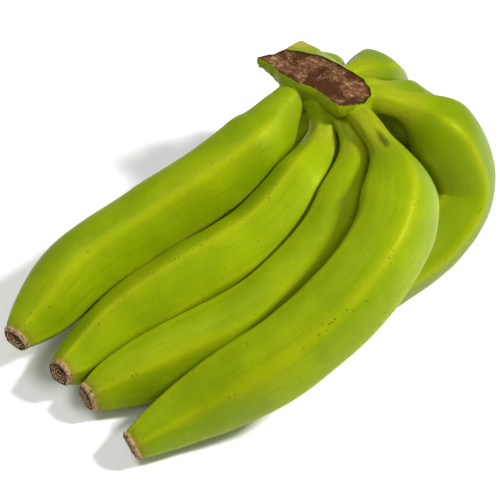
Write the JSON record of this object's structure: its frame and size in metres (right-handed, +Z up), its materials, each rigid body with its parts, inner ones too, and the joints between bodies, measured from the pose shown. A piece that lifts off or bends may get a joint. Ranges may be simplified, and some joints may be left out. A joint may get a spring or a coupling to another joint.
{
  "type": "hand of green plantains",
  "caption": "Hand of unripe green plantains grown from one cut crown, in two rows, the outer row curled under and resting on the surface.",
  "frame": {"origin": "on the surface the hand lies on, below the middle of its bounding box", "axes": "+X along the fingers from their tips towards the crown, +Z up, +Y completes the frame"},
  "size_m": [0.3393, 0.212, 0.1265],
  "materials": {
    "crown_skin": "dry brown fibrous cut with a green skin rim",
    "inner_skin": "satin waxy yellow-green fruit skin",
    "outer_skin": "satin waxy green fruit skin"
  },
  "bodies": {
    "root": {"crown": "crown_skin", "finger_1": "inner_skin", "finger_2": "inner_skin", "finger_3": "inner_skin", "finger_4": "inner_skin", "finger_5": "outer_skin", "finger_6": "outer_skin", "finger_7": "outer_skin", "finger_8": "outer_skin"}
  },
  "joints": []
}
